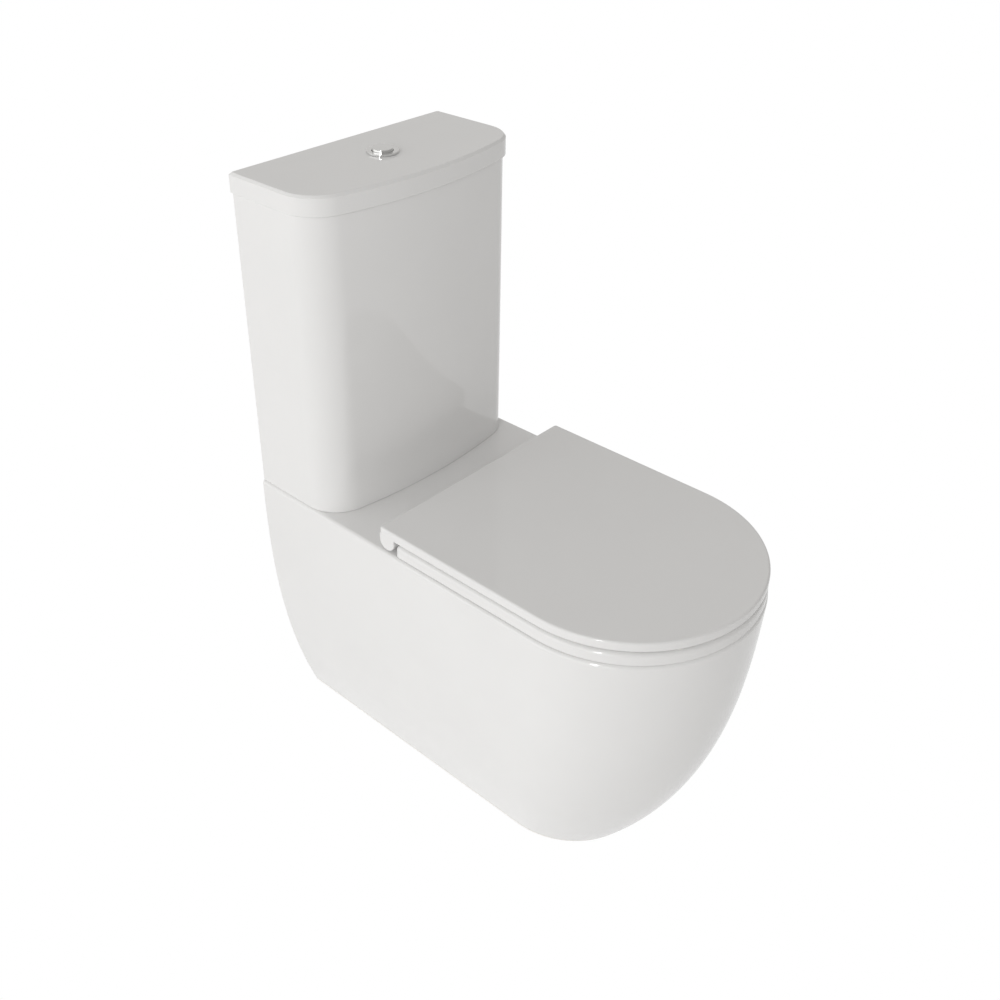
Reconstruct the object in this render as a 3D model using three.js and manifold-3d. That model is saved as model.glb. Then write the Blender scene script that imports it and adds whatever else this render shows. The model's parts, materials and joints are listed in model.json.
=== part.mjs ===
// A close coupled toilet: skirted pan, cistern with push button, slim seat and lid, and the
// fittings inside. Millimetres, +Z up. Every part is drawn with y = 0 at the wall and y negative
// towards the front; the assembly group then moves the origin to the middle of the footprint.

import * as THREE from 'three';
import { mergeVertices } from 'three/addons/utils/BufferGeometryUtils.js';
import Module from 'manifold-3d';

const wasm = await Module();
wasm.setup();

// ---------------------------------------------------------------- driving dimensions

const PROJECTION = 680; // wall to the front of the pan
const GAP = 0.3; // between parts that touch

const PAN_TOP = 414.5;
const PAN_HALF = 181; // half width at the deck
const FOOT_HALF = 117.8; // half width at the floor
const PAN_WALL = 12;
const DECK_THICK = 14;
const PAN_EDGE = 6; // radius of the top edge
const ARC_STEPS = 24; // steps round the front of the pan and the seat

const BOWL = { y: -468, halfWidth: 136, halfLength: 170, floor: 150 };
const SUMP = { y: -384, halfWidth: 40, halfLength: 46 };
const BOWL_WALL = 10;

const TRAP_RADIUS = 36;
const TRAP_WALL = 10;
const TRAP_STEPS = 14;
const TRAP_SIDES = 14;
const SPIGOT = { z: 185, outer: 51, inner: 43, from: -96, to: -22 };

const VALVE_Y = -82; // flush valve, button and fill valve lie on this line
const INLET_X = -132;
const BOLT_X = 86; // close coupling bolts
const BOLT_HOLE = 6; // radius, for coupling and hinge bolts alike
const PAST = 10; // how far a cut runs past the face that it opens

const TANK_WALL = 10;
const TANK_FLOOR = 14;
const TANK_RIM = 837.6;
const TANK_FOOT = { halfWidth: 178.3, front: -166, frontRadius: 800 };
const TANK_HEAD = { halfWidth: 179.1, front: -171.5, frontRadius: 620 };
const CORNER_RADIUS = 54;

const LID_TOP = 864.4;
const LID_HALF = 182.5;
const LID_FRONT = -175;
const LID_BOW = 600; // radius of the bowed front
const LID_CHAMFER = 3.2;
const LID_PLATE = 12;
const LID_BORDER = 14;

const BUTTON_TRAVEL = 5;
const BUTTON_RADIUS = 13.7;
const BEZEL_RADIUS = 21;
const BEZEL_HEIGHT = 3;
const BUTTON_PROUD = 3.4; // button top above the bezel
const SLEEVE_LENGTH = 34;

const SEAT_HALF = 176.7;
const SEAT_ROUND_Y = -502.4; // where the straight sides meet the round front
const SEAT_LID = { under: 436, top: 448.4, rear: -239.8 };
const SEAT_RING = { under: 416.2, top: 432, rear: -268, edge: 3.2 };
const BUFFER = { radius: 8, pocket: 3 };
const RING_HOLE = { y: -487, halfWidth: 112, halfLength: 145 };

const HINGE = { y: -252.7, z: 430, roll: 13, pin: 3.5, x: 77.5 };
const POST_HALF = 12;
const KNUCKLE = { width: 13, gap: 1, radius: 6.5 };

const VALVE_LIFT = 12;
const OVERFLOW_TOP = 745;
const TOWER_HEAD = 18; // from the lifted overflow tube to the top of the flush valve

// ---------------------------------------------------------------- materials

const finish = (color, roughness, metalness) =>
  new THREE.MeshStandardMaterial({ color, roughness, metalness });

const ceramic = () => finish(0xf6f6f5, 0.08, 0);
const seatPlastic = () => finish(0xf7f7f7, 0.16, 0);
const chrome = () => finish(0xc9cbcd, 0.1, 1);
const whitePlastic = () => finish(0xe9e9e6, 0.4, 0);
const bluePlastic = () => finish(0x5f86ab, 0.45, 0);
const greyPlastic = () => finish(0x8d9093, 0.5, 0);
const rubber = () => finish(0x2b2b2c, 0.8, 0);
const foam = () => finish(0x3b3b3b, 0.9, 0);
const bufferRubber = () => finish(0xe4e4e1, 0.6, 0);
const steel = () => finish(0xb4b7ba, 0.3, 1);
const brass = () => finish(0xc2a25a, 0.3, 1);

// ---------------------------------------------------------------- solids

// A closed geometry becomes a solid, turned right side out if its faces point in.
function toSolid(geometry) {
  const bare = new THREE.BufferGeometry();
  bare.setAttribute('position', geometry.getAttribute('position'));
  bare.setIndex(geometry.getIndex());
  const merged = mergeVertices(bare, 1e-4);
  const points = merged.getAttribute('position').array;
  const all = merged.getIndex().array;
  const kept = [];
  for (let i = 0; i < all.length; i += 3) {
    const [a, b, c] = [all[i], all[i + 1], all[i + 2]];
    if (a !== b && b !== c && c !== a) kept.push(a, b, c);
  }
  if (signedVolume(points, kept) < 0) kept.reverse();
  const mesh = new wasm.Mesh({ numProp: 3, vertProperties: points, triVerts: new Uint32Array(kept) });
  return new wasm.Manifold(mesh);
}

function signedVolume(points, triangles) {
  const [a, b, c] = [new THREE.Vector3(), new THREE.Vector3(), new THREE.Vector3()];
  let six = 0;
  for (let i = 0; i < triangles.length; i += 3) {
    a.fromArray(points, 3 * triangles[i]);
    b.fromArray(points, 3 * triangles[i + 1]);
    c.fromArray(points, 3 * triangles[i + 2]);
    six += a.dot(b.cross(c));
  }
  return six / 6;
}

const box = (x0, x1, y0, y1, z0, z1) => {
  const geometry = new THREE.BoxGeometry(x1 - x0, y1 - y0, z1 - z0);
  return toSolid(geometry.translate((x0 + x1) / 2, (y0 + y1) / 2, (z0 + z1) / 2));
};

const post = (radius, x, y, z0, z1, sides = 20) => {
  const geometry = new THREE.CylinderGeometry(radius, radius, z1 - z0, sides);
  return toSolid(geometry.rotateX(Math.PI / 2).translate(x, y, (z0 + z1) / 2));
};

const postAlongX = (radius, x0, x1, y, z, sides = 16) => {
  const geometry = new THREE.CylinderGeometry(radius, radius, x1 - x0, sides);
  return toSolid(geometry.rotateZ(Math.PI / 2).translate((x0 + x1) / 2, y, z));
};

const postAlongY = (radius, y0, y1, z, sides = 24) => {
  const geometry = new THREE.CylinderGeometry(radius, radius, y1 - y0, sides);
  return toSolid(geometry.translate(0, (y0 + y1) / 2, z));
};

// A round hole through a round or many-sided body.
const ring = (outer, inner, x, y, z0, z1, sides = 20) =>
  post(outer, x, y, z0, z1, sides).subtract(post(inner, x, y, z0 - 1, z1 + 1, Math.max(sides, 16)));

// A section carried along a smooth path in the middle plane, from [y, z] points.
function pipe(radius, path, steps, sides) {
  const curve = new THREE.CatmullRomCurve3(path.map(([y, z]) => new THREE.Vector3(0, y, z)));
  const section = new THREE.Shape(circle(radius, sides));
  return toSolid(new THREE.ExtrudeGeometry(section, { extrudePath: curve, steps, curveSegments: 1 }));
}

const circle = (radius, sides) =>
  Array.from({ length: sides }, (_, i) => {
    const angle = (2 * Math.PI * i) / sides;
    return new THREE.Vector2(radius * Math.cos(angle), radius * Math.sin(angle));
  });

// A solid skinned over outlines of equal length, stacked upwards, with flat ends.
function stack(levels) {
  const count = levels[0].outline.length;
  const points = levels.flatMap(({ z, outline }) => outline.flatMap(([x, y]) => [x, y, z]));
  const triangles = [];
  for (let level = 0; level + 1 < levels.length; level++) {
    for (let i = 0; i < count; i++) {
      const here = level * count + i;
      const next = level * count + ((i + 1) % count);
      triangles.push(here, next, next + count);
      triangles.push(here, next + count, here + count);
    }
  }
  const flat = (outline) => outline.map(([x, y]) => new THREE.Vector2(x, y));
  const top = (levels.length - 1) * count;
  const footCap = THREE.ShapeUtils.triangulateShape(flat(levels[0].outline), []);
  const topCap = THREE.ShapeUtils.triangulateShape(flat(levels.at(-1).outline), []);
  for (const [a, b, c] of footCap) triangles.push(c, b, a);
  for (const [a, b, c] of topCap) triangles.push(top + a, top + b, top + c);
  const geometry = new THREE.BufferGeometry();
  geometry.setAttribute('position', new THREE.Float32BufferAttribute(points, 3));
  geometry.setIndex(triangles);
  return toSolid(geometry);
}

// ---------------------------------------------------------------- the assembly

const assembly = new THREE.Group();
assembly.position.y = PROJECTION / 2;

function place(name, solid, material) {
  const { vertProperties, triVerts } = solid.getMesh();
  const geometry = new THREE.BufferGeometry();
  geometry.setAttribute('position', new THREE.BufferAttribute(vertProperties, 3));
  geometry.setIndex(new THREE.BufferAttribute(triVerts, 1));
  geometry.computeVertexNormals();
  const mesh = new THREE.Mesh(geometry, material);
  mesh.name = name;
  assembly.add(mesh);
}

const SIDES = [
  ['left', -1],
  ['right', 1],
];

// ---------------------------------------------------------------- outlines

const between = (a, b, t) => a + (b - a) * t;

// Straight back and sides with a half-round front.
function roundFrontOutline(half, rear, roundY) {
  const outline = [
    [half, rear],
    [-half, rear],
  ];
  for (let i = 0; i <= ARC_STEPS; i++) {
    const angle = Math.PI * (1 + i / ARC_STEPS);
    outline.push([half * Math.cos(angle), roundY + half * Math.sin(angle)]);
  }
  return outline;
}

// The skirt's half width and front follow powers of the depth below the deck's round edge.
function panOutline(z, inset, back) {
  const skirtTop = PAN_TOP - PAN_EDGE;
  const depth = Math.max(0, (skirtTop - z) / skirtTop);
  const half = PAN_HALF - (PAN_HALF - FOOT_HALF) * depth ** 2.5;
  const front = -PROJECTION + 26 * depth + 100.7 * depth ** 2.76;
  return roundFrontOutline(half - inset, back, front + half);
}

// A bowed front joined to straight sides by round corners.
function bowedOutline({ halfWidth, front, frontRadius }, inset, backInset = inset) {
  const half = halfWidth - inset;
  const bow = frontRadius - inset;
  const corner = CORNER_RADIUS - inset;
  const bowY = front + frontRadius;
  const cornerX = half - corner;
  const cornerY = bowY - Math.sqrt((bow - corner) ** 2 - cornerX ** 2);
  const meet = Math.atan2(cornerX, bowY - cornerY);
  const outline = [
    [half, -backInset],
    [-half, -backInset],
  ];
  const arc = (x, y, radius, from, to, steps) => {
    for (let i = 0; i <= steps; i++) {
      const angle = between(from, to, i / steps);
      outline.push([x + radius * Math.sin(angle), y - radius * Math.cos(angle)]);
    }
  };
  arc(-cornerX, cornerY, corner, -Math.PI / 2, -meet, 6);
  arc(0, bowY, bow, between(-meet, meet, 0.125), between(-meet, meet, 0.875), 6);
  arc(cornerX, cornerY, corner, meet, Math.PI / 2, 6);
  return outline;
}

function ellipse(halfWidth, halfLength, y, sides = 28) {
  return Array.from({ length: sides }, (_, i) => {
    const angle = (2 * Math.PI * i) / sides;
    return [halfWidth * Math.cos(angle), y + halfLength * Math.sin(angle)];
  });
}

// ---------------------------------------------------------------- pan

// Rim to sump in one S-curve, grown outwards by a wall thickness.
function bowlShape(grow, top) {
  const levels = [];
  const steps = 7;
  for (let i = 0; i <= steps; i++) {
    const depth = 1 - i / steps;
    const narrowing = (1 - Math.cos(Math.PI * depth)) / 2;
    const halfWidth = between(BOWL.halfWidth, SUMP.halfWidth, narrowing) + grow;
    const halfLength = between(BOWL.halfLength, SUMP.halfLength, narrowing) + grow;
    const y = between(BOWL.y, SUMP.y, narrowing);
    levels.push({ z: between(top, BOWL.floor - grow, depth), outline: ellipse(halfWidth, halfLength, y) });
  }
  return stack(levels);
}

const TRAP_PATH = [
  [SUMP.y, 176],
  [-372, 134],
  [-325, 118],
  [-272, 146],
  [-238, 210],
  [-200, 244],
  [-158, 240],
  [-122, 205],
  [SPIGOT.from + 10, SPIGOT.z],
  [SPIGOT.from + 30, SPIGOT.z],
];

function makePan() {
  const heights = [0, 40, 90, 150, 220, 310]; // closer together where the skirt curves in more
  const outer = [...heights, PAN_TOP - PAN_EDGE].map((z) => ({ z, outline: panOutline(z, 0, 0) }));
  for (const lift of [0.6, 1]) {
    const inset = PAN_EDGE * (1 - Math.sqrt(1 - lift * lift));
    const z = PAN_TOP - PAN_EDGE * (1 - lift);
    outer.push({ z, outline: panOutline(z, inset, 0) });
  }
  const underDeck = PAN_TOP - DECK_THICK;
  const hollowLevels = [-PAST, ...heights, underDeck];
  const hollow = stack(hollowLevels.map((z) => ({ z, outline: panOutline(z, PAN_WALL, PAST) })));
  const whole = stack(outer);

  const socket = { floor: 384, radius: 53, wall: 12, way: 32 }; // way: the hole down to the channel
  const channel = { half: 37, wall: 10, floor: 350, roof: 372, front: -315, back: -38 };
  const flushBlock = box(
    -channel.half - channel.wall,
    channel.half + channel.wall,
    channel.front,
    channel.back + channel.wall,
    channel.floor - channel.wall,
    underDeck + 1,
  );
  const socketWall = post(socket.radius + socket.wall, 0, VALVE_Y, channel.roof, underDeck + 1, 32);
  const web = box(-PAN_HALF, PAN_HALF, -162, -150, 110, underDeck + 1).intersect(whole); // across the skirt
  const trap = pipe(TRAP_RADIUS + TRAP_WALL, TRAP_PATH, TRAP_STEPS, TRAP_SIDES);
  const spigot = postAlongY(SPIGOT.outer, SPIGOT.from, SPIGOT.to, SPIGOT.z);

  let pan = whole.subtract(hollow);
  pan = pan.add(bowlShape(BOWL_WALL, underDeck + 1)).add(flushBlock).add(socketWall);
  pan = pan.add(web).add(trap).add(spigot);

  pan = pan.subtract(bowlShape(0, PAN_TOP + 0.5));
  pan = pan.subtract(pipe(TRAP_RADIUS, TRAP_PATH, TRAP_STEPS, TRAP_SIDES));
  pan = pan.subtract(postAlongY(SPIGOT.inner, SPIGOT.from + 12, SPIGOT.to + PAST, SPIGOT.z));
  pan = pan.subtract(
    box(-channel.half, channel.half, channel.front, channel.back, channel.floor, channel.roof),
  );
  pan = pan.subtract(post(socket.way, 0, VALVE_Y, channel.floor + 5, socket.floor + 5, 32));
  pan = pan.subtract(post(socket.radius, 0, VALVE_Y, socket.floor, PAN_TOP + PAST, 32));
  const inletHole = 24;
  pan = pan.subtract(post(inletHole, INLET_X, VALVE_Y, underDeck - PAST, PAN_TOP + PAST));
  for (const [, sign] of SIDES) {
    pan = pan.subtract(post(BOLT_HOLE, sign * BOLT_X, VALVE_Y, underDeck - PAST, PAN_TOP + PAST, 16));
    pan = pan.subtract(post(BOLT_HOLE, sign * HINGE.x, HINGE.y, underDeck - PAST, PAN_TOP + PAST, 16));
  }
  place('pan', pan, ceramic());
}

// ---------------------------------------------------------------- cistern

function makeCistern() {
  const foot = PAN_TOP + GAP;
  const edge = 1;
  const outer = stack([
    { z: foot, outline: bowedOutline(TANK_FOOT, edge, 0) },
    { z: foot + edge, outline: bowedOutline(TANK_FOOT, 0) },
    { z: TANK_RIM, outline: bowedOutline(TANK_HEAD, 0) },
  ]);
  const inner = stack([
    { z: foot + TANK_FLOOR, outline: bowedOutline(TANK_FOOT, TANK_WALL) },
    { z: TANK_RIM + 1, outline: bowedOutline(TANK_HEAD, TANK_WALL) },
  ]);
  let tank = outer.subtract(inner);
  const through = (radius, x, sides) => post(radius, x, VALVE_Y, foot - 1, foot + TANK_FLOOR + 1, sides);
  const hole = { valve: 34, inlet: 11.5 };
  tank = tank.subtract(through(hole.valve, 0, 32)).subtract(through(hole.inlet, INLET_X, 24));
  for (const [, sign] of SIDES) tank = tank.subtract(through(BOLT_HOLE, sign * BOLT_X, 16));
  place('cistern', tank, ceramic());
}

function makeCisternLid() {
  const shape = { halfWidth: LID_HALF, front: LID_FRONT, frontRadius: LID_BOW };
  const under = TANK_RIM + GAP;
  const plateUnder = LID_TOP - LID_PLATE;
  const outer = stack([
    { z: under, outline: bowedOutline(shape, 0) },
    { z: LID_TOP - LID_CHAMFER, outline: bowedOutline(shape, 0) },
    { z: LID_TOP, outline: bowedOutline(shape, LID_CHAMFER) },
  ]);
  const recess = stack([
    { z: under - 1, outline: bowedOutline(shape, LID_BORDER) },
    { z: plateUnder, outline: bowedOutline(shape, LID_BORDER) },
  ]);
  let lid = outer.subtract(recess);
  const lug = { depth: 9, thick: 6, halfLength: 25, x: 161 };
  for (const [, sign] of SIDES) {
    const x = sign * lug.x;
    lid = lid.add(
      box(x - lug.thick / 2, x + lug.thick / 2, VALVE_Y - lug.halfLength, VALVE_Y + lug.halfLength,
        under - lug.depth, plateUnder + 1),
    );
  }
  const buttonHole = 18.5;
  lid = lid.subtract(post(buttonHole, 0, VALVE_Y, plateUnder - 1, LID_TOP + 1, 32));
  place('cistern_lid', lid, ceramic());
}

// ---------------------------------------------------------------- push button

function makeButton() {
  const bezelTop = LID_TOP + BEZEL_HEIGHT;
  const bore = BUTTON_RADIUS + 0.5;
  const sleeve = 17;
  const sleeveFoot = LID_TOP - SLEEVE_LENGTH;
  const ledge = 3; // at the sleeve's foot, under the spring
  const eye = 6; // the rod's way through the ledge
  const bevel = 0.6;
  const disc = (radius, z0, z1, edge) =>
    stack([
      { z: z0, outline: ellipse(radius, radius, VALVE_Y) },
      { z: z1 - edge, outline: ellipse(radius, radius, VALVE_Y) },
      { z: z1, outline: ellipse(radius - edge, radius - edge, VALVE_Y) },
    ]);

  const flange = disc(BEZEL_RADIUS, LID_TOP + GAP, bezelTop, bevel);
  let bezel = flange.add(post(sleeve, 0, VALVE_Y, sleeveFoot, LID_TOP + 1, 28));
  bezel = bezel.subtract(post(bore, 0, VALVE_Y, sleeveFoot + ledge, bezelTop + 1, 28));
  bezel = bezel.subtract(post(eye, 0, VALVE_Y, sleeveFoot - 1, sleeveFoot + ledge + 1));
  place('button_bezel', bezel, chrome());

  const nut = { radius: 24, height: 9, top: LID_TOP - LID_PLATE - GAP };
  const nutRing = ring(nut.radius, sleeve + GAP, 0, VALVE_Y, nut.top - nut.height, nut.top, 24);
  place('button_nut', nutRing, whitePlastic());

  const buttonFoot = LID_TOP - 6; // below the lid's top
  place('flush_button', disc(BUTTON_RADIUS, buttonFoot, bezelTop + BUTTON_PROUD, bevel), chrome());

  const rodTop = buttonFoot - GAP;
  const rodFoot = OVERFLOW_TOP + VALVE_LIFT + TOWER_HEAD + BUTTON_TRAVEL + 1;
  const tip = { radius: 5.5, height: 5 };
  let rod = post(3, 0, VALVE_Y, rodFoot, rodTop, 16);
  rod = rod.add(post(tip.radius, 0, VALVE_Y, rodFoot, rodFoot + tip.height, 16));
  place('button_rod', rod, whitePlastic());

  const spring = { radius: 9.5, wire: 0.9, turns: 4 };
  const wound = coil(spring.radius, spring.wire, sleeveFoot + ledge + GAP, buttonFoot - GAP, spring.turns);
  place('button_spring', wound, steel());
}

// A round wire wound about the button's axis, its ends inside the two heights.
function coil(radius, wire, z0, z1, turns) {
  const stepsPerTurn = 10;
  const path = [];
  for (let i = 0; i <= turns * stepsPerTurn; i++) {
    const angle = (2 * Math.PI * i) / stepsPerTurn;
    const z = between(z0 + wire + 0.2, z1 - wire - 0.2, i / (turns * stepsPerTurn));
    path.push(new THREE.Vector3(radius * Math.cos(angle), VALVE_Y + radius * Math.sin(angle), z));
  }
  const extrudePath = new THREE.CatmullRomCurve3(path);
  const options = { extrudePath, steps: turns * stepsPerTurn, curveSegments: 1 };
  return toSolid(new THREE.ExtrudeGeometry(new THREE.Shape(circle(wire, 5)), options));
}

// ---------------------------------------------------------------- flush valve

function makeFlushValve() {
  const floorTop = PAN_TOP + GAP + TANK_FLOOR;
  const flangeTop = floorTop + GAP + 5;
  const seatTop = flangeTop + 3;
  const flange = 44;
  const tail = { radius: 31.5, bore: 26, foot: 394 };
  const seat = 29;
  let base = post(flange, 0, VALVE_Y, floorTop + GAP, flangeTop, 32);
  base = base.add(post(tail.radius, 0, VALVE_Y, tail.foot, flangeTop, 32));
  base = base.add(post(seat, 0, VALVE_Y, flangeTop - 1, seatTop, 32));
  base = base.subtract(post(tail.bore, 0, VALVE_Y, tail.foot - 4, seatTop + 1, 32));
  place('flush_valve_base', base, whitePlastic());

  const nutFoot = 405;
  const socketFloor = 384;
  const onTail = tail.radius + GAP;
  place('flush_valve_backnut', ring(flange, onTail, 0, VALVE_Y, nutFoot, PAN_TOP, 24), whitePlastic());
  place('coupling_seal', ring(52, onTail, 0, VALVE_Y, socketFloor + GAP, nutFoot - GAP, 28), foam());

  const plate = 4; // thickness of the seal and of the plate that holds it
  const tubeRadius = { outer: 15, inner: 12.5, plate: 28 };
  const sealFoot = seatTop + GAP;
  const sealTop = sealFoot + plate;
  place('flush_seal', ring(31, tubeRadius.inner, 0, VALVE_Y, sealFoot, sealTop, 24), rubber());
  const tubeFoot = sealTop + GAP;
  let tube = post(tubeRadius.outer, 0, VALVE_Y, tubeFoot, OVERFLOW_TOP);
  tube = tube.add(post(tubeRadius.plate, 0, VALVE_Y, tubeFoot, tubeFoot + plate, 24));
  tube = tube.subtract(post(tubeRadius.inner, 0, VALVE_Y, tubeFoot - 1, OVERFLOW_TOP + 1));
  place('overflow_tube', tube, bluePlastic());

  const cage = { radius: 42, legs: 4, legRadius: 37.5, halfLeg: 3, guide: 560, head: 10 };
  const headTop = OVERFLOW_TOP + VALVE_LIFT + TOWER_HEAD;
  const headFoot = headTop - cage.head;
  let tower = ring(cage.radius, 33, 0, VALVE_Y, flangeTop + GAP, flangeTop + 12, 24);
  tower = tower.add(ring(cage.radius, tubeRadius.outer + 2, 0, VALVE_Y, cage.guide, cage.guide + 6, 24));
  tower = tower.add(post(cage.radius, 0, VALVE_Y, headFoot, headTop, 24));
  for (let i = 0; i < cage.legs; i++) {
    const angle = (Math.PI * (2 * i + 1)) / cage.legs;
    const x = cage.legRadius * Math.cos(angle);
    const y = VALVE_Y + cage.legRadius * Math.sin(angle);
    const { halfLeg } = cage;
    const leg = box(x - halfLeg, x + halfLeg, y - halfLeg, y + halfLeg, flangeTop + 6, headFoot + 5);
    tower = tower.add(leg);
  }
  place('flush_valve_tower', tower, bluePlastic());
}

// ---------------------------------------------------------------- fill valve

function makeFillValve() {
  const floorTop = PAN_TOP + GAP + TANK_FLOOR;
  const washerTop = floorTop + GAP + 3;
  const thread = 10.5;
  const tailFoot = 372;
  const flange = 18;
  const stem = { radius: 10, bore: 6, top: 770 };
  const at = (radius, z0, z1, sides) => post(radius, INLET_X, VALVE_Y, z0, z1, sides);

  const washer = ring(flange, thread + GAP, INLET_X, VALVE_Y, floorTop + GAP, washerTop);
  place('fill_valve_washer', washer, rubber());
  let body = at(thread, tailFoot, washerTop + 2).add(at(flange, washerTop + GAP, washerTop + 5));
  body = body.add(at(stem.radius, washerTop + 4, stem.top));
  body = body.subtract(at(stem.bore, tailFoot - 1, stem.top - 8));
  place('fill_valve_stem', body, whitePlastic());
  const nut = { radius: 17, height: 10 };
  const nutRing = ring(nut.radius, thread + GAP, INLET_X, VALVE_Y, PAN_TOP - nut.height, PAN_TOP, 12);
  place('fill_valve_backnut', nutRing, whitePlastic());

  const pivotZ = 785.5;
  const armX = INLET_X + 26;
  const pivot = 2;
  const cap = at(21, stem.top + GAP, stem.top + 30).add(
    postAlongX(pivot, INLET_X + 15, armX + 4, VALVE_Y, pivotZ, 12),
  );
  place('fill_valve_cap', cap, bluePlastic());

  const lever = { length: 42, half: 3, thick: 5, eye: 4.5, link: 36 }; // link: pivot to the float's peg
  const leverFoot = pivotZ - lever.thick / 2;
  let arm = box(
    armX - lever.half,
    armX + lever.half,
    VALVE_Y - lever.length,
    VALVE_Y + 5,
    leverFoot,
    leverFoot + lever.thick,
  );
  arm = arm.add(postAlongX(lever.eye, armX - lever.half, armX + lever.half, VALVE_Y, pivotZ, 16));
  arm = arm.subtract(postAlongX(pivot + GAP, armX - 4, armX + 4, VALVE_Y, pivotZ, 12));
  place('float_arm', arm, whitePlastic());

  const float = { radius: 27, bore: 12, height: 58, top: 748 };
  const linkY = VALVE_Y - lever.link;
  const pegGap = 0.8; // left for the lever to tilt
  let cup = ring(float.radius, float.bore, INLET_X, VALVE_Y, float.top - float.height, float.top);
  cup = cup.add(box(armX - 6, armX + 6, linkY - 6, VALVE_Y - 15, float.top - 8, float.top));
  cup = cup.add(post(2.5, armX, linkY, float.top - 1, leverFoot - pegGap, 12));
  place('float_cup', cup, greyPlastic());
}

// ---------------------------------------------------------------- close coupling bolts

function makeCouplingBolts() {
  const floorTop = PAN_TOP + GAP + TANK_FLOOR;
  const underDeck = PAN_TOP - DECK_THICK;
  const headFoot = floorTop + GAP + 4;
  const bolt = { radius: 4, head: 9, foot: 366 };
  const onBolt = bolt.radius + GAP;
  const washer = { radius: 11, thick: 2.5 };
  const nut = { radius: 7.5, height: 12, halfWing: 3, wingReach: 17 };
  for (const [side, sign] of SIDES) {
    const x = sign * BOLT_X;
    const head = post(bolt.head, x, VALVE_Y, headFoot + GAP, headFoot + 5);
    const shank = post(bolt.radius, x, VALVE_Y, bolt.foot, headFoot + 1, 16);
    place(`coupling_bolt_${side}`, head.add(shank), brass());
    place(`coupling_rubber_${side}`, ring(13, onBolt, x, VALVE_Y, floorTop + GAP, headFoot, 16), rubber());
    const washerTop = underDeck - GAP;
    const washerFoot = washerTop - washer.thick;
    const washerRing = ring(washer.radius, onBolt, x, VALVE_Y, washerFoot, washerTop, 16);
    place(`coupling_washer_${side}`, washerRing, steel());
    const nutTop = washerFoot - GAP;
    const nutFoot = nutTop - nut.height;
    const wings = box(
      x - nut.halfWing,
      x + nut.halfWing,
      VALVE_Y - nut.wingReach,
      VALVE_Y + nut.wingReach,
      nutFoot,
      nutTop - 3,
    );
    const body = post(nut.radius, x, VALVE_Y, nutFoot, nutTop).add(wings);
    const bore = post(onBolt, x, VALVE_Y, nutFoot - 1, nutTop + 1, 16);
    place(`wing_nut_${side}`, body.subtract(bore), brass());
  }
}

// ---------------------------------------------------------------- seat and lid

const postReach = POST_HALF + KNUCKLE.gap; // from a hinge's middle to its inner and outer knuckles
const cheekReach = postReach + KNUCKLE.width + KNUCKLE.gap; // and on to the lid's cheeks
const pinReach = cheekReach + 6;

// Where the ring's four buffers stand on the pan, each pushed into a pocket under the ring.
function bufferPlaces() {
  const ends = { rear: [150, -330], front: [95, -613] };
  const onSide = ([side, sign]) => Object.entries(ends).map(([end, [x, y]]) => [sign * x, y, end, side]);
  return SIDES.flatMap(onSide);
}

function makeSeatRing() {
  const level = (z, inset) => ({
    z,
    outline: roundFrontOutline(SEAT_HALF - inset, SEAT_RING.rear - inset, SEAT_ROUND_Y),
  });
  const { under, top } = SEAT_RING;
  const lowerEdge = 1;
  const { edge } = SEAT_RING;
  let seat = stack([
    level(under, lowerEdge),
    level(under + lowerEdge, 0),
    level(top - edge, 0),
    level(top - 0.3 * edge, 0.3 * edge),
    level(top, edge),
  ]);
  const hole = [
    [under - 1, 0],
    [top - 6, 0],
    [top + 0.5, 7],
  ]; // height, and how far the oval has grown there
  const { halfWidth, halfLength, y: middle } = RING_HOLE;
  seat = seat.subtract(
    stack(hole.map(([z, grow]) => ({ z, outline: ellipse(halfWidth + grow, halfLength + grow, middle) }))),
  );
  for (const [, sign] of SIDES) {
    for (const away of [-1, 1]) {
      const near = sign * HINGE.x + away * postReach;
      const far = near + away * KNUCKLE.width;
      const [x0, x1] = [Math.min(near, far), Math.max(near, far)];
      seat = seat.add(box(x0, x1, SEAT_RING.rear - 7, HINGE.y, HINGE.z - 5, top)); // the tongue
      seat = seat.add(postAlongX(KNUCKLE.radius, x0, x1, HINGE.y, HINGE.z));
    }
    const middle = sign * HINGE.x;
    seat = seat.subtract(postAlongX(HINGE.pin + GAP, middle - pinReach, middle + pinReach, HINGE.y, HINGE.z));
  }
  for (const [x, y] of bufferPlaces()) {
    const pocket = post(BUFFER.radius + GAP, x, y, under - 1, under + BUFFER.pocket + GAP, 16);
    seat = seat.subtract(pocket);
  }
  place('seat_ring', seat, seatPlastic());
}

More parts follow.
